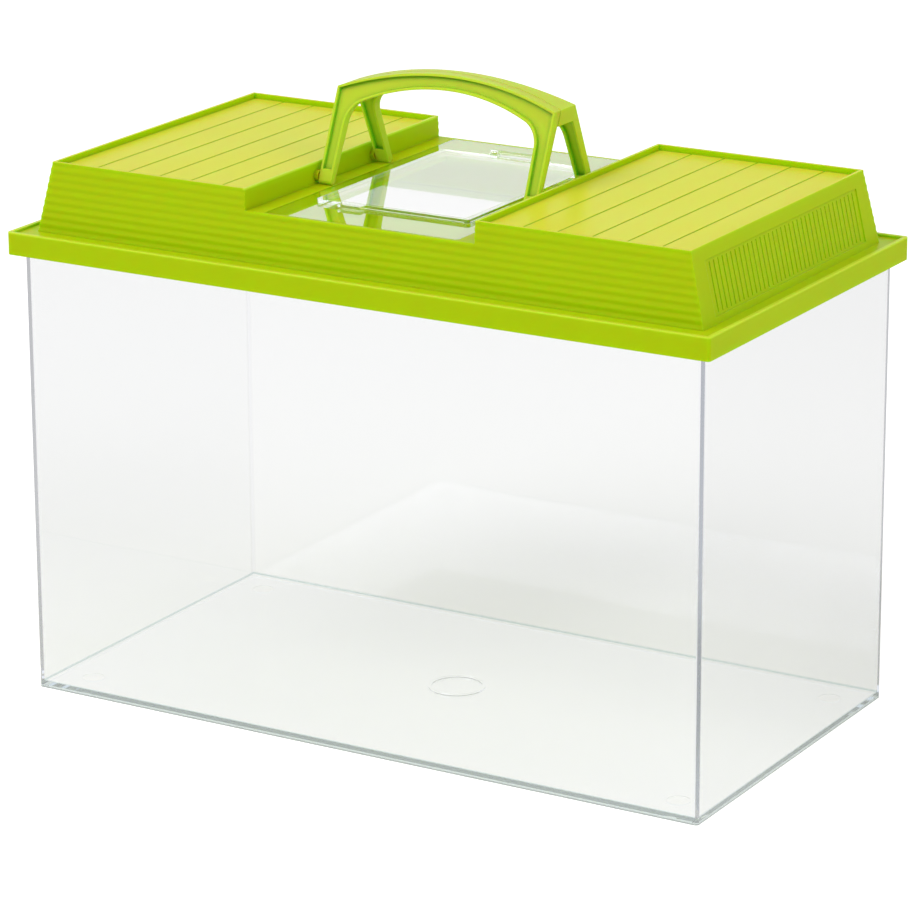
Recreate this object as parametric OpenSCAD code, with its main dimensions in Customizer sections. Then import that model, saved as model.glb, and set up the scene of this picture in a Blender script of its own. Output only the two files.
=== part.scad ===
// Plastic pet keeper: a clear open-topped tank under a coloured lid with a
// clear feeding hatch and a carrying handle made of two folding bails.
// Millimetres. Origin at the bottom centre of the tank, +Z up, -Y to the front.

/* [Tank] */
// Outside length of the tank, left to right
tank_l = 300; // [220:1:400]
// Outside width of the tank, front to back
tank_w = 158.4; // [150:0.2:240]
// Height of the tank up to the seat of the lid
tank_h = 187.4; // [120:0.2:260]
// Wall of the tank
tank_wall = 1.8; // [1.2:0.1:3]
// Thickness of the tank's floor above its foot rim
floor_t = 2; // [1.2:0.1:4]
// Height of the foot rim and foot pads under the floor
foot_h = 0.5; // [0.3:0.1:1.5]
// Width of the foot rim
foot_rim_w = 3; // [2:0.5:6]
// Radius of each round foot pad
pad_r = 4.5; // [2:0.5:8]
// Distance of a foot pad's centre from the tank's outer faces
pad_inset = 16; // [10:1:30]
// Overhang of the flange round the tank's top edge
flange_out = 2.4; // [1.5:0.1:2.8]
// Height of that flange
flange_h = 3; // [2:0.1:4.5]
// Radius of the tank's upright corners
tank_corner_r = 1.5; // [0.5:0.1:4]
// Outer radius of the moulding ring on the tank's floor
gate_ring_r = 11.5; // [6:0.5:20]
// Width of that ring
gate_ring_w = 1.2; // [0.8:0.1:2]
// Height of that ring above the tank's floor
gate_ring_h = 0.4; // [0.2:0.1:0.8]

/* [Lid rim] */
// Gap all round between the tank's flange and the lid's skirt
skirt_gap = 0.7; // [0.3:0.05:1]
// Wall of the lid
lid_wall = 1.7; // [1.4:0.1:2.2]
// Drop of the skirt below the seat on the tank
skirt_drop = 6.4; // [4:0.1:12]
// Height of the edge lip above the ledge
lip_h = 1; // [0.8:0.1:3]
// Radius of the rim's upright corners
rim_corner_r = 1.3; // [1:0.1:6]

/* [Lid crown] */
// Length of the raised crown at its base
crown_l = 294; // [214:0.2:394]
// Width of the raised crown at its base
crown_w = 148; // [138:0.2:230]
// Height of the crown above the ledge
crown_h = 28.4; // [24:0.2:40]
// Inward lean of each end wall over the crown's height
end_lean = 6.6; // [2:0.1:10]
// Inward lean of the front and back walls over the crown's height
side_lean = 2.1; // [0.5:0.1:6]
// Number of soft valleys that ripple the front and back walls
rib_count = 9; // [3:1:9]
// Distance from one valley to the next
rib_pitch = 3.14; // [2:0.02:3.2]
// Depth of each valley
rib_depth = 0.35; // [0.2:0.05:0.8]
// Height of the plain band above the highest valley's middle
rib_top_band = 1.5; // [1:0.1:3]

/* [Lid platforms] */
// Width of the thin lip round each platform's sunk panel
panel_lip_w = 1.2; // [0.8:0.1:3]
// Depth of each platform's panel below its lip
panel_depth = 2.2; // [0.5:0.1:2.5]
// Number of bays that grooves divide each panel into
panel_bays = 6; // [2:1:8]
// Width of each of these grooves
panel_groove_w = 0.6; // [0.4:0.1:2]
// Depth of each of these grooves below the panel
panel_groove_d = 0.25; // [0.1:0.05:0.5]

/* [Air vents] */
// Length of the slatted field in each end wall, front to back
vent_field_l = 126; // [60:1:136]
// Height of the slatted field
vent_field_h = 21; // [10:0.5:21]
// Height of the slatted field's middle above the ledge
vent_field_z = 12.7; // [12:0.1:16]
// Depth of the slatted field below the end wall's border
vent_field_d = 0.4; // [0.2:0.1:0.7]
// Distance from one air slot to the next
vent_pitch = 3.4; // [2.5:0.1:6]
// Width of each air slot
vent_slot_w = 0.7; // [0.6:0.1:1.8]
// Height of each air slot
vent_slot_h = 19; // [8:0.5:20]

/* [Channel] */
// Width of the channel between the two platforms
channel_w = 101.4; // [97:0.2:140]
// Depth of the channel floor below the platforms
channel_d = 8.6; // [7.8:0.1:10]
// Width of the pocket that holds the clear window plate
pocket_w = 85.4; // [76:0.2:86]
// Length of that pocket, front to back
pocket_l = 141.5; // [120:0.5:142]

/* [Window plate and hatch] */
// Thickness of the clear window plate
window_t = 1.6; // [1.2:0.1:2.5]
// Gap between the window plate and its pocket
window_gap = 0.15; // [0.1:0.05:0.4]
// Width of the feeding opening through the lid
opening_w = 62; // [40:0.5:66]
// Length of the feeding opening
opening_l = 90; // [60:0.5:91]
// Ledge of the lid that shows inside the window plate, on each edge
green_ledge = 1.5; // [0.5:0.1:2]
// Overlap of the hatch on the window plate, on each edge
hatch_overlap = 1.5; // [1:0.1:2]
// Thickness of the clear hatch
hatch_t = 1.5; // [1:0.1:2]
// Height of the locating rim under the hatch
hatch_rim_h = 1.4; // [0.8:0.1:1.5]
// Gap between that rim and the window plate
hatch_rim_gap = 0.35; // [0.3:0.05:0.8]
// Width of that rim
hatch_rim_w = 1.2; // [0.8:0.1:2]
// Radius of the upright corners of the window plate and the hatch
plate_corner_r = 1.5; // [0.8:0.1:3]
// Clearance between the closed hatch and the window plate
hatch_seat_gap = 0.05; // [0.02:0.01:0.2]
// Radius of the hatch's hinge pin
hatch_pin_r = 0.85; // [0.7:0.05:1]
// Radial clearance of the hinge pin
hatch_pin_gap = 0.06; // [0.02:0.01:0.1]
// Radius of the hinge knuckle and of its two ears
knuckle_r = 1.7; // [1.6:0.1:2]
// Length of the hinge knuckle
knuckle_l = 18.4; // [12:0.2:30]
// Width of each hinge ear
ear_w = 3.4; // [2:0.1:5]
// Distance of the knuckle from the hatch's back edge
knuckle_off = 0.6; // [0.4:0.1:1.5]
// Thickness of each ear's outer skin beyond the end of its pin
ear_skin = 0.4; // [0.3:0.1:1]
// Gap between the knuckle and each ear
ear_gap = 0.3; // [0.2:0.05:0.5]
// Width of the finger tab on the hatch's front edge
tab_w = 10; // [6:0.5:20]
// Reach of the finger tab beyond the hatch
tab_reach = 3.4; // [2:0.1:4]
// Place of the finger tab, left or right of the hatch's middle
tab_x = -17; // [-24:0.5:24]

/* [Handle] */
// Distance of each bail's pivot from the middle of the lid
pivot_y = 20.9; // [19:0.1:23]
// Height of the pivots above the channel floor
pivot_h = 3.2; // [3.2:0.1:5]
// Lean of the bails' legs from upright, towards each other
leg_lean = 23.4; // [22:0.1:25]
// Distance of a leg's outer face in front of its pivot axis
leg_face = 1.45; // [1:0.05:2]
// Distance between the outer sides of a bail's legs
bail_w = 97.2; // [90:0.2:97.6]
// Width of a leg at its foot
leg_w_foot = 5.7; // [3.5:0.1:7]
// Width of a leg at its top
leg_w_top = 6.1; // [4:0.1:8]
// Thickness of a leg at its foot
leg_t_foot = 2.9; // [2.6:0.1:3.2]
// Thickness of a leg at its top and of the grip's front half
leg_t_top = 4.2; // [3:0.1:5]
// Length of a leg beyond its pivot, up to its rounded end
foot_drop = 1.5; // [1:0.1:1.5]
// Height of the grip's ends above the pivots
grip_end_h = 33.4; // [30:0.1:35]
// Rise of the arched grip from its ends to its middle
grip_rise = 8.6; // [3:0.1:12]
// Height of the grip's arched band in the middle
grip_t = 5.7; // [3.5:0.1:7]
// Radius of the arch under the grip
under_r = 94.4; // [90:0.2:200]
// Radius of the rounded inner corners of a bail
inner_corner_r = 10; // [4:0.5:12]
// Depth of the rear grip's block below the grip's ends
block_drop = 6; // [3:0.5:9]
// Gap between the two halves of the grip when raised
grip_gap = 0.5; // [0.3:0.05:0.8]
// Width of the rim round the hollow face of a bail
bail_rim_w = 0.9; // [0.8:0.1:1.5]
// Depth of that hollow face
bail_hollow_d = 1.4; // [0.5:0.1:1.5]
// Height of the hollow's lower end above the pivots
hollow_low = 3; // [2:0.5:8]
// Radius of the pivot pins
pivot_pin_r = 1.1; // [0.9:0.05:1.2]
// Radial clearance of the pivot pins
pivot_gap = 0.06; // [0.02:0.01:0.1]
// Radius of the bosses that carry the pins
boss_r = 2.2; // [2:0.1:3]
// Gap between a leg and its boss
boss_gap = 0.4; // [0.3:0.05:0.8]

/* [Hidden] */
$fn = 64;

// heights
seat_z = tank_h;
ledge_z = seat_z + lid_wall;
lip_z = ledge_z + lip_h;
skirt_z = seat_z - skirt_drop;
crown_z = ledge_z + crown_h;
channel_z = crown_z - channel_d;
pocket_z = channel_z - window_t;
hatch_z = channel_z + hatch_seat_gap;
pivot_z = channel_z + pivot_h;

// plan sizes
rim_l = tank_l + 2 * (flange_out + skirt_gap + lid_wall);
rim_w = tank_w + 2 * (flange_out + skirt_gap + lid_wall);
crown_top_l = crown_l - 2 * end_lean;
crown_top_w = crown_w - 2 * side_lean;
panel_z = crown_z - panel_depth;
window_w = pocket_w - 2 * window_gap;
window_l = pocket_l - 2 * window_gap;
window_open_w = opening_w + 2 * green_ledge;
window_open_l = opening_l + 2 * green_ledge;
hatch_w = window_open_w + 2 * hatch_overlap;
hatch_l = window_open_l + 2 * hatch_overlap;
// hatch hinge
hinge_y = hatch_l / 2 + knuckle_r + knuckle_off;
hinge_z = hatch_z + knuckle_r;
pin_reach = knuckle_l / 2 + ear_gap + ear_w - ear_skin;

// handle: y and z are counted from a bail's pivot, with y towards the other bail
boss_h = (channel_w - bail_w) / 2 - boss_gap;
pin_tip_x = channel_w / 2 + lid_wall;
foot_t = leg_t_foot / 2;
grip_top_z = grip_end_h + grip_rise;
grip_top_r = (bail_w * bail_w / 4 + grip_rise * grip_rise) / (2 * grip_rise);
grip_low_z = grip_end_h - block_drop;
under_mid_z = grip_top_z - grip_t - under_r;
inner_x = bail_w / 2 - leg_w_top;
inner_foot_x = bail_w / 2 - leg_w_foot;
corner_x = inner_x - inner_corner_r;
corner_z = under_mid_z + sqrt(pow(under_r - inner_corner_r, 2) - corner_x * corner_x);
corner_a = acos(corner_x / (under_r - inner_corner_r));

lid_colour = [0.70, 0.80, 0.09];
clear_colour = [0.86, 0.93, 0.93, 0.35];

module rounded_slab(l, w, h, r) {
    linear_extrude(h)
        union() {
            square([l - 2 * r, w], center = true);
            square([l, w - 2 * r], center = true);
            for (sx = [-1, 1], sy = [-1, 1])
                translate([sx * (l / 2 - r), sy * (w / 2 - r)]) circle(r);
        }
}

module box_on(l, w, h) {
    translate([-l / 2, -w / 2, 0]) cube([l, w, h]);
}

// ---------------------------------------------------------------- tank
module tank_shell() {
    difference() {
        union() {
            rounded_slab(tank_l, tank_w, tank_h, tank_corner_r);
            translate([0, 0, tank_h - flange_h])
                rounded_slab(tank_l + 2 * flange_out, tank_w + 2 * flange_out, flange_h,
                             tank_corner_r + flange_out / 2);
        }
        translate([0, 0, foot_h + floor_t])
            box_on(tank_l - 2 * tank_wall, tank_w - 2 * tank_wall, tank_h);
        translate([0, 0, -1])
            box_on(tank_l - 2 * foot_rim_w, tank_w - 2 * foot_rim_w, foot_h + 1);
    }
}

module tank() {
    color(clear_colour) {
        union() {
            tank_shell();
            for (sx = [-1, 1], sy = [-1, 1])
                translate([sx * (tank_l / 2 - pad_inset), sy * (tank_w / 2 - pad_inset), 0])
                    cylinder(r = pad_r, h = foot_h + floor_t / 2);
            translate([0, 0, foot_h + floor_t / 2])
                difference() {
                    cylinder(r = gate_ring_r, h = floor_t / 2 + gate_ring_h);
                    cylinder(r = gate_ring_r - gate_ring_w, h = floor_t);
                }
        }
    }
}

// ---------------------------------------------------------------- lid
// Outline of the crown seen from the end: two leaning walls that ripple in
// soft waves. Runs up the back (+Y) side and down the front.
function side_y(z) = crown_w / 2 - side_lean * (z - ledge_z) / crown_h;
function end_x(z) = crown_l / 2 - end_lean * (z - ledge_z) / crown_h;
rib_steps = 8;
ribs_top_z = crown_z - rib_top_band + rib_pitch / 2;
function rib_y(z) = side_y(z) - rib_depth * (1 - cos(360 * (ribs_top_z - z) / rib_pitch)) / 2;
function rib_side() =
    [for (i = [rib_count * rib_steps : -1 : 0])
        let (z = ribs_top_z - i * rib_pitch / rib_steps)
        if (z > ledge_z && z < crown_z) [rib_y(z), z]];
function flip(pts) = [for (i = [len(pts) - 1 : -1 : 0]) [-pts[i][0], pts[i][1]]];
function crown_profile() =
    let (side = concat([[side_y(seat_z), seat_z]], rib_side(), [[side_y(crown_z), crown_z]]))
    concat(side, flip(side));

module ribbed_prism() {
    rotate([90, 0, 90])
        linear_extrude(crown_l + 4, center = true) polygon(crown_profile());
}

// The solid between leaning end walls, grown or shrunk by off on each face.
module end_wedge(off, z0, z1) {
    rotate([90, 0, 0])
        linear_extrude(crown_w + 4, center = true)
            polygon([[-end_x(z0) - off, z0], [end_x(z0) + off, z0],
                     [end_x(z1) + off, z1], [-end_x(z1) - off, z1]]);
}

module side_wedge(off, z0, z1) {
    rotate([90, 0, 90])
        linear_extrude(crown_l + 4, center = true)
            polygon([[-side_y(z0) - off, z0], [side_y(z0) + off, z0],
                     [side_y(z1) + off, z1], [-side_y(z1) - off, z1]]);
}

module crown_outside() {
    intersection() {
        ribbed_prism();
        end_wedge(0, seat_z, crown_z);
    }
}

module crown_inside() {
    intersection() {
        end_wedge(-lid_wall, skirt_z - 1, panel_z - lid_wall);
        side_wedge(-lid_wall - rib_depth, skirt_z - 1, panel_z - lid_wall);
    }
}

module rim() {
    difference() {
        translate([0, 0, skirt_z])
            rounded_slab(rim_l, rim_w, lip_z - skirt_z, rim_corner_r);
        translate([0, 0, ledge_z])
            box_on(rim_l - 2 * lid_wall, rim_w - 2 * lid_wall, lip_h + 1);
        translate([0, 0, skirt_z - 1])
            box_on(rim_l - 2 * lid_wall, rim_w - 2 * lid_wall, skirt_drop + 1);
    }
}

// Air space under the channel is open to the tank, so the channel is a tray
// hung between the two platforms.
module channel_cut() {
    translate([0, 0, channel_z]) box_on(channel_w, crown_w + 4, channel_d + 1);
}

module channel_tray() {
    tray_z = pocket_z - lid_wall;
    intersection() {
        side_wedge(-rib_depth, seat_z, crown_z);
        translate([0, 0, tray_z])
            box_on(channel_w + 2 * lid_wall, crown_w + 4, crown_z - tray_z);
    }
}

module pivot_bosses() {
    for (sx = [-1, 1], sy = [-1, 1])
        translate([sx * channel_w / 2, sy * pivot_y, pivot_z])
            rotate([0, -90 * sx, 0])
                translate([0, 0, -lid_wall / 2]) cylinder(r = boss_r, h = boss_h + lid_wall / 2);
}

module pivot_bores() {
    for (sy = [-1, 1])
        translate([0, sy * pivot_y, pivot_z])
            rotate([0, 90, 0])
                cylinder(r = pivot_pin_r + pivot_gap, h = channel_w + 4 * lid_wall, center = true);
}

// Sunk panel of one platform, with grooves across it between its bays.
module platform_details(sx) {
    x0 = channel_w / 2 + panel_lip_w;
    x1 = crown_top_l / 2 - panel_lip_w;
    panel_w = crown_top_w - 2 * panel_lip_w;
    bay = (x1 - x0) / panel_bays;
    translate([sx * (x0 + x1) / 2, 0, panel_z])
        box_on(x1 - x0, panel_w, panel_depth + 1);
    for (i = [1 : panel_bays - 1])
        translate([sx * (x0 + i * bay), 0, panel_z - panel_groove_d])
            box_on(panel_groove_w, panel_w, panel_groove_d + 1);
}

// Recessed field of upright air slots in one end wall, cut square to the wall.
module end_vents(sx) {
    wall_angle = atan(end_lean / crown_h);
    slots = floor((vent_field_l - vent_pitch) / vent_pitch);
    mid_z = ledge_z + vent_field_z;
    translate([sx * end_x(mid_z), 0, mid_z])
        rotate([0, -sx * wall_angle, 0]) {
            translate([-vent_field_d, -vent_field_l / 2, -vent_field_h / 2])
                cube([2 * vent_field_d, vent_field_l, vent_field_h]);
            for (i = [0 : slots - 1])
                translate([-2 * lid_wall, (i - (slots - 1) / 2) * vent_pitch - vent_slot_w / 2,
                           -vent_slot_h / 2])
                    cube([4 * lid_wall, vent_slot_w, vent_slot_h]);
        }
}

module lid() {
    color(lid_colour)
        difference() {
            union() {
                difference() {
                    union() {
                        rim();
                        crown_outside();
                    }
                    crown_inside();
                    channel_cut();
                }
                difference() {
                    channel_tray();
                    channel_cut();
                }
                channel_walls();
                pivot_bosses();
            }
            translate([0, 0, pocket_z]) box_on(pocket_w, pocket_l, window_t + channel_d);
            translate([0, 0, pocket_z - 2 * lid_wall])
                box_on(opening_w, opening_l, 4 * lid_wall);
            pivot_bores();
            for (sx = [-1, 1]) {
                platform_details(sx);
                end_vents(sx);
            }
        }
}

module channel_walls() {
    intersection() {
        side_wedge(-rib_depth, seat_z, crown_z);
        for (sx = [-1, 1])
            translate([sx * (channel_w + lid_wall) / 2, 0, pocket_z - lid_wall])
                box_on(lid_wall, crown_w + 4, crown_z - pocket_z + lid_wall);
    }
}

// ---------------------------------------------------------------- window plate
module hinge_ear(x0) {
    translate([x0, 0, 0])
        rotate([0, 90, 0])
            linear_extrude(ear_w) {
                translate([-hinge_z, hinge_y]) circle(knuckle_r);
                translate([-hinge_z, hinge_y - knuckle_r])
                    square([hinge_z - channel_z + window_t / 2, 2 * knuckle_r]);
            }
}

module window_plate() {
    ear_x = knuckle_l / 2 + ear_gap;
    color(clear_colour)
        difference() {
            union() {
                translate([0, 0, pocket_z])
                    rounded_slab(window_w, window_l, window_t, plate_corner_r);
                hinge_ear(ear_x);
                hinge_ear(-ear_x - ear_w);
            }
            translate([0, 0, pocket_z - 1]) box_on(window_open_w, window_open_l, window_t + 2);
            translate([0, hinge_y, hinge_z]) rotate([0, 90, 0])
                cylinder(r = hatch_pin_r + hatch_pin_gap, h = 2 * ear_x + 2 * ear_w + 2,
                         center = true);
        }
}

// ---------------------------------------------------------------- hatch
module hatch() {
    rim_out_w = window_open_w - 2 * hatch_rim_gap;
    rim_out_l = window_open_l - 2 * hatch_rim_gap;
    color(clear_colour)
        union() {
            translate([0, 0, hatch_z]) rounded_slab(hatch_w, hatch_l, hatch_t, plate_corner_r);
            difference() {
                translate([0, 0, hatch_z - hatch_rim_h])
                    box_on(rim_out_w, rim_out_l, hatch_rim_h + hatch_t / 2);
                translate([0, 0, hatch_z - hatch_rim_h - 1])
                    box_on(rim_out_w - 2 * hatch_rim_w, rim_out_l - 2 * hatch_rim_w,
                           hatch_rim_h + 1);
            }
            translate([tab_x, -hatch_l / 2 - tab_reach / 2 + 0.5, hatch_z + hatch_t / 3])
                box_on(tab_w, tab_reach + 1, 2 * hatch_t / 3);
            translate([0, (hatch_l / 2 - 1 + hinge_y) / 2, hatch_z])
                box_on(knuckle_l, hinge_y - hatch_l / 2 + 1, hatch_t);
            translate([-knuckle_l / 2, hinge_y, hinge_z]) rotate([0, 90, 0])
                cylinder(r = knuckle_r, h = knuckle_l);
            translate([-pin_reach, hinge_y, hinge_z]) rotate([0, 90, 0])
                cylinder(r = hatch_pin_r, h = 2 * pin_reach);
        }
}

// ---------------------------------------------------------------- handle
// A bail is drawn as the front one: raised, with its pivot axis on the X axis.
// It is the space that its front outline and its side outline share.
function arc(x, z, r, a0, a1, n) =
    [for (i = [0 : n]) let (a = a0 + (a1 - a0) * i / n) [x + r * cos(a), z + r * sin(a)]];
function middle(pts) = [for (i = [1 : len(pts) - 2]) pts[i]];

// Places on the leaning faces of a leg, h above its pivot. d is counted back
// from the outer face.
function face_y(h, d) = h * tan(leg_lean) + (d - leg_face) / cos(leg_lean);
function far_y(h) = 2 * pivot_y - face_y(h, leg_t_top + grip_gap);

// Outline seen from the front, shrunk by inset on every edge, down to z = low.
module bail_front(inset, low) {
    half_w = bail_w / 2 - inset;
    top_r = grip_top_r - inset;
    top_a = acos(half_w / top_r);
    corner_r = inner_corner_r + inset;
    arch_r = under_r + inset;
    rotate([90, 0, 0])
        linear_extrude(6 * pivot_y, center = true)
            polygon(concat(
                [[half_w, low]],
                arc(0, grip_top_z - grip_top_r, top_r, top_a, 180 - top_a, 40),
                [[-half_w, low], [-inner_foot_x - inset, low]],
                arc(-corner_x, corner_z, corner_r, 180, 180 - corner_a, 10),
                middle(arc(0, under_mid_z, arch_r, 180 - corner_a, corner_a, 28)),
                arc(corner_x, corner_z, corner_r, corner_a, 0, 10),
                [[inner_foot_x + inset, low]]));
}

// Outline of one leg's rounded end seen from the side, from front to back.
function foot_side() =
    let (y = -foot_drop * sin(leg_lean) + (foot_t - leg_face) * cos(leg_lean),
         z = -foot_drop * cos(leg_lean) - (foot_t - leg_face) * sin(leg_lean))
    arc(y, z, foot_t, 180 - leg_lean, 360 - leg_lean, 10);

module side_prism(pts) {
    rotate([90, 0, 90]) linear_extrude(bail_w + 2, center = true) polygon(pts);
}

// One leaning plate for the front half.
module front_side() {
    top = grip_top_z + 1;
    side_prism(concat(foot_side(),
        [[face_y(grip_end_h, leg_t_top), grip_end_h], [face_y(top, leg_t_top), top],
         [face_y(top, 0), top]]));
}

// The rear half's plate carries a block that reaches the front half.
module rear_side() {
    top = grip_top_z + 1;
    low_t = leg_t_foot + (leg_t_top - leg_t_foot) * grip_low_z / grip_end_h;
    side_prism(concat(foot_side(),
        [[face_y(grip_low_z, low_t), grip_low_z], [far_y(grip_low_z), grip_low_z],
         [far_y(top), top], [face_y(top, 0), top]]));
}

// Hollow in a front face, inside its rim.
module front_hollow() {
    top = grip_top_z + 1;
    intersection() {
        bail_front(bail_rim_w, hollow_low);
        side_prism([[face_y(0, bail_hollow_d), 0], [face_y(top, bail_hollow_d), top],
                    [-2 * pivot_y, top], [-2 * pivot_y, 0]]);
    }
}

// Hollow in the inner faces of the rear legs, up to the block.
module rear_hollow() {
    top = grip_low_z - bail_rim_w;
    top_d = leg_t_foot + (leg_t_top - leg_t_foot) * top / grip_end_h - bail_hollow_d;
    intersection() {
        bail_front(bail_rim_w, hollow_low);
        side_prism([[face_y(0, leg_t_foot - bail_hollow_d), 0], [face_y(top, top_d), top],
                    [2 * pivot_y, top], [2 * pivot_y, 0]]);
    }
}

module leg_pins() {
    start_x = inner_foot_x + leg_w_foot / 3;
    for (sx = [-1, 1])
        translate([sx * (pin_tip_x + start_x) / 2, 0, 0]) rotate([0, 90, 0])
            cylinder(r = pivot_pin_r, h = pin_tip_x - start_x, center = true);
}

module front_bail() {
    color(lid_colour)
        translate([0, -pivot_y, pivot_z])
            union() {
                difference() {
                    intersection() {
                        bail_front(0, -leg_t_foot - foot_drop);
                        front_side();
                    }
                    front_hollow();
                }
                leg_pins();
            }
}

module rear_bail() {
    color(lid_colour)
        translate([0, pivot_y, pivot_z])
            rotate([0, 0, 180])
                union() {
                    difference() {
                        intersection() {
                            bail_front(0, -leg_t_foot - foot_drop);
                            rear_side();
                        }
                        rear_hollow();
                    }
                    leg_pins();
                }
}

tank();
lid();
window_plate();
hatch();
front_bail();
rear_bail();
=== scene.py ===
import math

import bpy
import numpy as np
from mathutils import Matrix

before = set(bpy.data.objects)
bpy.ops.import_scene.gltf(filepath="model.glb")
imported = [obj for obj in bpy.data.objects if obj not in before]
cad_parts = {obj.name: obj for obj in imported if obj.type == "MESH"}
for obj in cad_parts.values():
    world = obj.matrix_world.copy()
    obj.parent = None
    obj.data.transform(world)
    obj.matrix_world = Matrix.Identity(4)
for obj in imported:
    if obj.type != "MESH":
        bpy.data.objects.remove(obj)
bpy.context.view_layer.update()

# ---------------------------------------------------------------------------
# The tank: one open tub of clear polystyrene, injected through a gate in the
# middle of its floor and polished inside and out, so that its thin walls show
# mostly as bluish lines where light runs along their edges.
# ---------------------------------------------------------------------------
tank_tint = (0.995, 0.997, 0.996)
tank_long_run_tint = (0.94, 0.955, 0.98)
# Painted shade: darker, bluer tints for the tub's upright and level corner lines.
tank_upright_painted_shade = (0.96, 0.96, 0.98)
tank_level_painted_shade = (0.60, 0.71, 0.71)
styrene_index = 1.59
bounces_of_a_long_run = 4.5

# Half lengths and a height in metres, each as the two ends of a soft step
# into the thickness of a wall or of the floor, where the corner lines get
# their painted shade.
end_wall = (0.1477, 0.1481)
side_wall = (0.0769, 0.0773)
tub_floor = (0.0031, 0.0027)


def set_plain(node, values):
    """Puts plain values on a node's inputs, given as (label, value) pairs."""
    for label, value in values:
        node.inputs[label].default_value = value


def put(tree, kind, values=(), **settings):
    """A new shader node with its settings and with plain input values."""
    node = tree.nodes.new("ShaderNode" + kind)
    for name, setting in settings.items():
        setattr(node, name, setting)
    set_plain(node, values)
    return node


def join(tree, pairs):
    """Links each (output socket, input socket) pair of one node tree."""
    for source, target in pairs:
        tree.links.new(source, target)


def new_group(name, inputs, outputs):
    """A shader node group with named inputs, given as (name, socket type,
    start value), and outputs, given as (name, socket type)."""
    group = bpy.data.node_groups.new(name, "ShaderNodeTree")
    for label, kind, start in inputs:
        socket = group.interface.new_socket(label, in_out="INPUT", socket_type=kind)
        socket.default_value = start
    for label, kind in outputs:
        group.interface.new_socket(label, in_out="OUTPUT", socket_type=kind)
    return group, group.nodes.new("NodeGroupInput"), group.nodes.new("NodeGroupOutput")


def new_material(name):
    """A material with its node tree and its Principled shader."""
    material = bpy.data.materials.new(name)
    material.use_nodes = True
    tree = material.node_tree
    return material, tree, tree.nodes["Principled BSDF"]


def combine(tree, operation, first, second=None, amount=0.0):
    """One Math node on two sockets, or on a socket and a plain amount."""
    node = put(tree, "Math", operation=operation)
    tree.links.new(first, node.inputs[0])
    if second is None:
        node.inputs[1].default_value = amount
    else:
        tree.links.new(second, node.inputs[1])
    return node.outputs[0]


def ramp(tree, value, ends, start=0.0, end=1.0):
    """The socket value carried over in a straight line, from the two ends to
    start and end, and held level beyond them."""
    node = put(tree, "MapRange", [("From Min", ends[0]), ("From Max", ends[1]),
                                  ("To Min", start), ("To Max", end)])
    tree.links.new(value, node.inputs["Value"])
    return node.outputs[0]


def colour_mix(tree, share, first, second):
    """The first colour, turned to the second by share, which is a socket.
    Each colour is a socket or three plain numbers."""
    node = put(tree, "Mix", data_type="RGBA")
    tree.links.new(share, node.inputs["Factor"])
    first_input, second_input = node.inputs[6], node.inputs[7]
    for target, colour in ((first_input, first), (second_input, second)):
        if isinstance(colour, tuple):
            target.default_value = (*colour, 1.0)
        else:
            tree.links.new(colour, target)
    return node.outputs[2]


def object_xyz(tree):
    """The point's Object coordinates as three sockets, X, Y and Z."""
    place = put(tree, "TexCoord")
    at = put(tree, "SeparateXYZ")
    tree.links.new(place.outputs["Object"], at.inputs[0])
    return at.outputs


def moulded_skin():
    """The skin of an injection moulding: a slow swell where the wall shrank as
    it cooled, plus the fine texture of the mould's steel. Height is each noise
    times its amount, added up, and Mottle is the slow noise, from 0 to 1."""
    group, source, target = new_group(
        "moulded skin",
        [("Swell Scale", "NodeSocketFloat", 20.0), ("Swell Amount", "NodeSocketFloat", 0.5),
         ("Grain Scale", "NodeSocketFloat", 900.0), ("Grain Amount", "NodeSocketFloat", 0.1)],
        [("Height", "NodeSocketFloat"), ("Mottle", "NodeSocketFloat")])
    place = put(group, "TexCoord")
    swell = put(group, "TexNoise", [("Detail", 1.0)])
    grain = put(group, "TexNoise", [("Detail", 3.0)])
    fine = put(group, "Math", operation="MULTIPLY_ADD")
    slow = combine(group, "MULTIPLY", swell.outputs["Fac"], source.outputs["Swell Amount"])
    join(group, [
        (place.outputs["Object"], swell.inputs["Vector"]),
        (place.outputs["Object"], grain.inputs["Vector"]),
        (source.outputs["Swell Scale"], swell.inputs["Scale"]),
        (source.outputs["Grain Scale"], grain.inputs["Scale"]),
        (grain.outputs["Fac"], fine.inputs[0]),
        (source.outputs["Grain Amount"], fine.inputs[1]),
        (slow, fine.inputs[2]),
        (fine.outputs[0], target.inputs["Height"]),
        (swell.outputs["Fac"], target.inputs["Mottle"])])
    return group


skin = moulded_skin()


def add_skin(tree, swell_scale, swell, grain_scale, grain):
    """Places the moulded skin in a material with its own four values."""
    return put(tree, "Group", [("Swell Scale", swell_scale), ("Swell Amount", swell),
                               ("Grain Scale", grain_scale), ("Grain Amount", grain)],
               node_tree=skin)


def tub_corners():
    """Masks of the tub's thick corners, where two of its walls or a wall and
    the floor run into each other: Upright and Level are one there. They lay
    painted shade, a darker, bluer tint in place of light bent along the corners."""
    group, source, target = new_group(
        "tub corners", [], [("Upright", "NodeSocketFloat"), ("Level", "NodeSocketFloat")])
    x, y, z = object_xyz(group)
    in_end = ramp(group, combine(group, "ABSOLUTE", x), end_wall)
    in_side = ramp(group, combine(group, "ABSOLUTE", y), side_wall)
    in_wall = combine(group, "MAXIMUM", in_end, in_side)
    in_floor = ramp(group, z, tub_floor)
    join(group, [
        (combine(group, "MULTIPLY", in_end, in_side), target.inputs["Upright"]),
        (combine(group, "MULTIPLY", in_wall, in_floor), target.inputs["Level"])])
    return group


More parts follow.
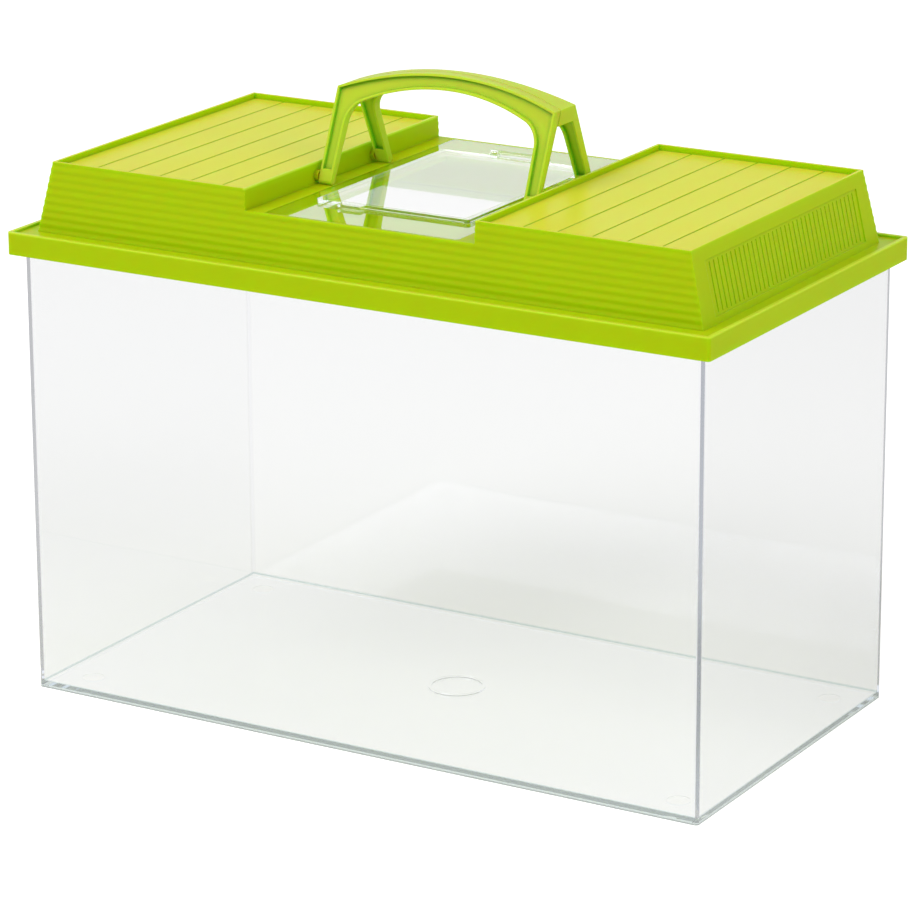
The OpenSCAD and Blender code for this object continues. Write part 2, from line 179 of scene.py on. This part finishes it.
def clear_styrene(name, tint, long_run_tint, rough, swell):
    """Clear polystyrene: it bends and mirrors light, and lets lamps and bounced
    light through to what lies behind it. Light that has run a long way along
    inside the wall comes out with a tint of its own."""
    material, tree, shader = new_material(name)
    set_plain(shader, [("Base Color", (*tint, 1.0)), ("IOR", styrene_index),
                       ("Transmission Weight", 1.0)])
    surface = add_skin(tree, 14.0, swell, 400.0, 0.0)
    roughness = ramp(tree, surface.outputs["Mottle"], (0.0, 1.0), rough, 2.0 * rough)
    bump = put(tree, "Bump", [("Distance", 0.001)])
    path = put(tree, "LightPath")
    long_run = combine(tree, "GREATER_THAN", path.outputs["Ray Depth"],
                       amount=bounces_of_a_long_run)
    lighting = combine(tree, "MAXIMUM", path.outputs["Is Shadow Ray"],
                       path.outputs["Is Diffuse Ray"])
    half_tint = [0.5 + 0.5 * c for c in tint]
    through = put(tree, "BsdfTransparent", [("Color", (*half_tint, 1.0))])
    spent = put(tree, "BsdfTransparent", [("Color", (*long_run_tint, 1.0))])
    seen = put(tree, "MixShader")
    whole = put(tree, "MixShader")
    join(tree, [
        (roughness, shader.inputs["Roughness"]),
        (surface.outputs["Height"], bump.inputs["Height"]),
        (bump.outputs[0], shader.inputs["Normal"]),
        (long_run, seen.inputs[0]),
        (shader.outputs[0], seen.inputs[1]),
        (spent.outputs[0], seen.inputs[2]),
        (lighting, whole.inputs[0]),
        (seen.outputs[0], whole.inputs[1]),
        (through.outputs[0], whole.inputs[2]),
        (whole.outputs[0], tree.nodes["Material Output"].inputs["Surface"])])
    return material


def dress(node, material):
    """Gives a CAD node this material in place of its own."""
    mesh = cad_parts[node].data
    mesh.materials.clear()
    mesh.materials.append(material)


tank_clear = clear_styrene("tank clear styrene", tank_tint, tank_long_run_tint,
                           rough=0.012, swell=0.3)
tree = tank_clear.node_tree
# Painted shade: the corner masks darken and blue the tub's clear tint along its corner lines.
corners = put(tree, "Group", node_tree=tub_corners())
corner_shaded_tint = colour_mix(tree, corners.outputs["Upright"], tank_tint, tank_upright_painted_shade)
corner_shaded_tint = colour_mix(tree, corners.outputs["Level"], corner_shaded_tint, tank_level_painted_shade)
tree.links.new(corner_shaded_tint, tree.nodes["Principled BSDF"].inputs["Base Color"])
dress("tank", tank_clear)

# ---------------------------------------------------------------------------
# The lid: one lime green moulding whose skirt hangs over the tank's flange.
# It is polypropylene with a soft sheen; its skin is slightly textured.
# ---------------------------------------------------------------------------

# Heights and half lengths in metres, each as the two ends of a soft step
# into the places where painted light is laid: the platforms' sunk panels, the
# top of the lip along the rim, and the crest of the platforms' edges along the channel.
panels_above = (0.2140, 0.2148)
platforms_below = (0.2190, 0.2180)
rim_lip_x, rim_lip_y, rim_lip_above = (0.1515, 0.1525), (0.0810, 0.0820), (0.1893, 0.1899)
crest_from, crest_to, crest_above = (0.0500, 0.0505), (0.0519, 0.0516), (0.2166, 0.2171)
facing_up = (0.5, 0.95)


def lit_places():
    """Masks of the places that get painted light: Panel is the platforms' sunk
    panels and their lips where they face up, painted paler and yellower as if lit
    from above, and Lip is the rounded top of the rim's edge lip and of the
    platforms' edges along the channel, painted with a highlight line."""
    group, source, target = new_group(
        "painted light places", [("Normal", "NodeSocketVector", (0.0, 0.0, 1.0))],
        [("Panel", "NodeSocketFloat"), ("Lip", "NodeSocketFloat")])
    x, y, z = object_xyz(group)
    facing = put(group, "SeparateXYZ")
    group.links.new(source.outputs["Normal"], facing.inputs[0])
    out_x = combine(group, "ABSOLUTE", x)
    out_y = combine(group, "ABSOLUTE", y)
    below = ramp(group, z, platforms_below)
    panel = combine(group, "MULTIPLY", ramp(group, z, panels_above), below)
    panel = combine(group, "MULTIPLY", panel, ramp(group, facing.outputs["Z"], facing_up))
    rim = combine(group, "MAXIMUM", ramp(group, out_x, rim_lip_x),
                  ramp(group, out_y, rim_lip_y))
    rim = combine(group, "MULTIPLY", rim, ramp(group, z, rim_lip_above))
    crest = combine(group, "MULTIPLY", ramp(group, out_x, crest_from),
                    ramp(group, out_x, crest_to))
    crest = combine(group, "MULTIPLY", crest, ramp(group, z, crest_above))
    crest = combine(group, "MULTIPLY", crest, below)
    join(group, [(panel, target.inputs["Panel"]),
                 (combine(group, "MAXIMUM", rim, crest), target.inputs["Lip"])])
    return group


painted_light_masks = lit_places()


def lime_plastic(name, colour, panel_painted_light, lip_painted_highlight, crevice_painted_shade, crevice_reach,
                 gloss, rough, edge_radius):
    """Lime plastic: the colour is mottled a little over the moulding, has painted
    light on the platforms and a painted highlight on the rim's lip, and glows
    green through thin walls because green light spreads furthest in it.
    Crevices get painted shade, a deeper green, and edges shade as if they were
    rounded by edge_radius metres."""
    material, tree, shader = new_material(name)
    set_plain(shader, [
        ("IOR", 1.49), ("Specular IOR Level", gloss), ("Subsurface Weight", 0.8),
        ("Subsurface Radius", (0.15, 1.0, 0.1)), ("Subsurface Scale", 0.006)])
    surface = add_skin(tree, 25.0, 0.25, 1600.0, 0.05)
    mottle = surface.outputs["Mottle"]
    rounding = put(tree, "Bevel", [("Radius", edge_radius)], samples=4)
    places = put(tree, "Group", node_tree=painted_light_masks)
    crevice = put(tree, "AmbientOcclusion", [("Distance", crevice_reach)],
                  samples=8, only_local=True)
    tone = colour_mix(tree, mottle, colour, tuple(0.95 * c for c in colour))
    # Painted light: paler, yellower up-facing panels and a painted highlight line on the lip.
    tone = colour_mix(tree, places.outputs["Panel"], tone, panel_painted_light)
    tone = colour_mix(tree, places.outputs["Lip"], tone, lip_painted_highlight)
    # Painted shade: where occlusion finds crevices, the colour turns to a deeper green.
    open_face = ramp(tree, crevice.outputs["AO"], (0.45, 0.95))
    tone = colour_mix(tree, open_face, crevice_painted_shade, tone)
    bump = put(tree, "Bump", [("Distance", 0.0005)])
    join(tree, [
        (rounding.outputs[0], places.inputs["Normal"]),
        (rounding.outputs[0], bump.inputs["Normal"]),
        (surface.outputs["Height"], bump.inputs["Height"]),
        (tone, shader.inputs["Base Color"]),
        (ramp(tree, mottle, (0.0, 1.0), rough, rough + 0.12), shader.inputs["Roughness"]),
        (bump.outputs[0], shader.inputs["Normal"])])
    return material


# Painted light on the panels, a painted highlight on the lip and painted shade in crevices.
lid_lime = lime_plastic(
    "lid lime plastic", colour=(0.437, 0.548, 0.002), panel_painted_light=(0.66, 0.620, 0.030),
    lip_painted_highlight=(0.58, 0.70, 0.040), crevice_painted_shade=(0.34, 0.49, 0.002),
    crevice_reach=0.0015, gloss=0.05, rough=0.28, edge_radius=0.0006)
dress("lid", lid_lime)

# ---------------------------------------------------------------------------
# The window plate and the hatch: clear styrene mouldings with a hard glossy
# face. The plate snaps into the lid's pocket; the hatch's stub pins turn in
# the plate's two ears.
# ---------------------------------------------------------------------------
window_clear = clear_styrene("window clear styrene", (0.995, 0.997, 0.994),
                             (0.92, 0.95, 0.95), rough=0.01, swell=0.1)
set_plain(window_clear.node_tree.nodes["Principled BSDF"], [("Coat Weight", 1.0)])
dress("window_plate", window_clear)
dress("hatch", window_clear)

# ---------------------------------------------------------------------------
# The two bails of the handle: lime mouldings that lean against each other.
# Their pivot pins are moulded on and snap into the bosses of the lid.
# ---------------------------------------------------------------------------
# Painted light on the tops, a painted highlight on edge crests and painted shade in crevices.
handle_lime = lime_plastic(
    "handle lime plastic", colour=(0.53, 0.66, 0.025), panel_painted_light=(0.54, 0.57, 0.014),
    lip_painted_highlight=(0.58, 0.70, 0.040), crevice_painted_shade=(0.21, 0.42, 0.012),
    crevice_reach=0.0025, gloss=0.12, rough=0.28, edge_radius=0.0004)
dress("front_bail", handle_lime)
dress("rear_bail", handle_lime)

# ---------------------------------------------------------------------------
# The studio: a white floor under soft, even light, and a white room that the
# glossy plastic mirrors.
# ---------------------------------------------------------------------------
floor_half = 14.0
floor_white, mirrored_floor_white = 0.85, 0.65
seen_floor_lift, floor_lift_through_clear = 0.45, 0.17
room_light, room_white = 0.62, 1.0


def for_rays(tree, plain, levels):
    """The value plain, changed to another where a ray flag is set: the sum
    of plain and of each flag times its level less plain."""
    socket = None
    for flag, level in levels:
        step = put(tree, "Math", [(1, level - plain), (2, plain)], operation="MULTIPLY_ADD")
        tree.links.new(flag, step.inputs[0])
        if socket is not None:
            tree.links.new(socket, step.inputs[2])
        socket = step.outputs[0]
    return socket


def mirrored(tree, path):
    """One for a ray that a surface mirrored, and nought for one that went
    through it: the glossy flag less the transmission flag, not below 0."""
    less = put(tree, "Math", operation="SUBTRACT", use_clamp=True)
    join(tree, [(path.outputs["Is Glossy Ray"], less.inputs[0]),
                (path.outputs["Is Transmission Ray"], less.inputs[1])])
    return less.outputs[0]


floor_mesh = bpy.data.meshes.new("studio floor")
floor_mesh.from_pydata([(-floor_half, -floor_half, 0), (floor_half, -floor_half, 0),
                        (floor_half, floor_half, 0), (-floor_half, floor_half, 0)],
                       [], [(0, 1, 2, 3)])
floor = bpy.data.objects.new("studio_floor", floor_mesh)
bpy.context.scene.collection.objects.link(floor)
paper, tree, unused_shader = new_material("studio white")
tree.nodes.remove(unused_shader)
path = put(tree, "LightPath")
shade = for_rays(tree, floor_white, [(mirrored(tree, path), mirrored_floor_white)])
level = for_rays(tree, 0.0, [(path.outputs["Is Camera Ray"], seen_floor_lift),
                             (path.outputs["Is Transmission Ray"], floor_lift_through_clear)])
white = put(tree, "CombineColor")
matt = put(tree, "BsdfDiffuse")
lift = put(tree, "Emission")
both = put(tree, "AddShader")
join(tree, [
    (shade, white.inputs[0]), (shade, white.inputs[1]), (shade, white.inputs[2]),
    (white.outputs[0], matt.inputs["Color"]),
    (level, lift.inputs["Strength"]),
    (matt.outputs[0], both.inputs[0]),
    (lift.outputs[0], both.inputs[1]),
    (both.outputs[0], tree.nodes["Material Output"].inputs["Surface"])])
floor_mesh.materials.append(paper)

room = bpy.data.worlds.new("studio room")
bpy.context.scene.world = room
room.use_nodes = True
tree = room.node_tree
sky = tree.nodes["Background"]
sky.inputs["Color"].default_value = (1.0, 1.0, 1.0, 1.0)
path = put(tree, "LightPath")
strength = for_rays(tree, room_light, [(path.outputs["Is Camera Ray"], room_white),
                                       (path.outputs["Is Transmission Ray"], room_white),
                                       (mirrored(tree, path), room_white)])
tree.links.new(strength, sky.inputs["Strength"])


def turned(x, y, z):
    """The Euler turn that carries the three axes onto the given directions."""
    return Matrix((x, y, z)).transposed().to_euler()


def soft_lamp(name, place, aim, size, watts):
    """A square soft box of the given width, turned to face the aim point."""
    data = bpy.data.lights.new(name, "AREA")
    data.shape = "SQUARE"
    data.size = size
    data.energy = watts
    lamp = bpy.data.objects.new(name, data)
    lamp.location = place
    away = np.array(place) - np.array(aim)
    away /= np.linalg.norm(away)
    side = np.cross((0, 0, 1), away)
    side /= np.linalg.norm(side)
    lamp.rotation_euler = turned(side, np.cross(away, side), away)
    bpy.context.scene.collection.objects.link(lamp)


middle = (0, 0, 0.1)
soft_lamp("key_lamp", (-0.9, -1.9, 2.4), middle, size=1.6, watts=38)
soft_lamp("fill_lamp", (2.2, -0.6, 1.6), middle, size=1.6, watts=17)

# The camera stands a little to the right of the keeper and above it, with a
# long lens. Its focal length is given in pixels of a frame 915 wide.
turn, tilt, roll = math.radians(30.627), math.radians(17.183), math.radians(-0.244)
distance = 1.71417
target = np.array([0.00027, 0.0, 0.10194])
focal_pixels, frame_pixels = 4325.9, 915
back = np.array([math.sin(turn) * math.cos(tilt), -math.cos(turn) * math.cos(tilt),
                 math.sin(tilt)])
across = np.array([math.cos(turn), math.sin(turn), 0.0])
upward = np.cross(back, across)
lens = bpy.data.cameras.new("lens")
lens.sensor_width = 36.0
lens.lens = 36.0 * focal_pixels / frame_pixels
camera = bpy.data.objects.new("camera", lens)
camera.location = target + back * distance
camera.rotation_euler = turned(math.cos(roll) * across + math.sin(roll) * upward,
                               -math.sin(roll) * across + math.cos(roll) * upward, back)
bpy.context.scene.collection.objects.link(camera)
bpy.context.scene.camera = camera
bpy.context.scene.view_settings.view_transform = "Standard"
